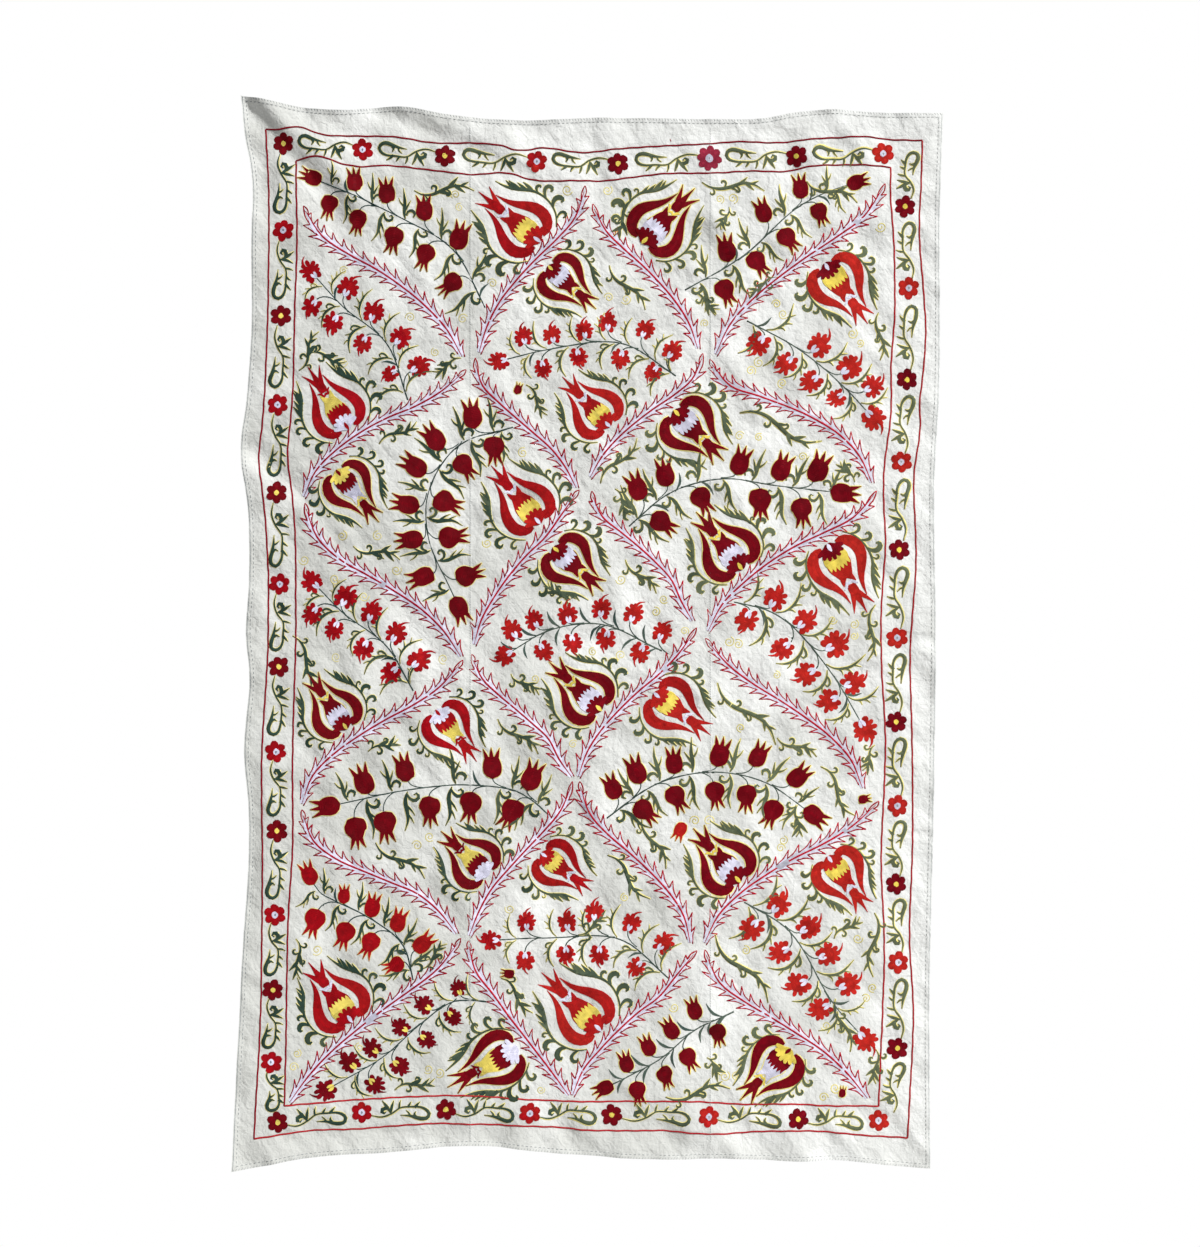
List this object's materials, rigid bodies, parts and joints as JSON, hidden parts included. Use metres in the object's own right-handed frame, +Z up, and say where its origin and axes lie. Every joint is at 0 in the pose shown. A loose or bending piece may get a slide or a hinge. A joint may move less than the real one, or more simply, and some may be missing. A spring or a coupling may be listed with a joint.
{
  "type": "suzani embroidered textile hanging",
  "caption": "Tall cotton wall hanging of sewn loom widths, with a leafy lattice, tulips, carnations and pomegranate sprigs in silk stitch inside a rosette border.",
  "frame": {"origin": "middle of the top edge, on the embroidered face, where the hanging is held up", "axes": "+Z up, -Y out of the embroidered face towards the viewer, +X to the viewer's right"},
  "size_m": [1.472, 0.0239, 2.228],
  "materials": {
    "ground_cotton": "undyed white cotton in plain weave, matt, lightly creased",
    "wine_silk": "wine-red silk in chain and filling stitch, soft sheen",
    "scarlet_silk": "scarlet silk in chain and filling stitch, soft sheen",
    "green_silk": "dark grey-green silk in chain stitch, soft sheen",
    "yellow_silk": "pale yellow silk in chain stitch, soft sheen",
    "pale_silk": "lilac-white silk in chain stitch, soft sheen"
  },
  "bodies": {
    "root": {"ground_left": "ground_cotton", "ground_middle": "ground_cotton", "ground_right": "ground_cotton"}
  },
  "joints": []
}
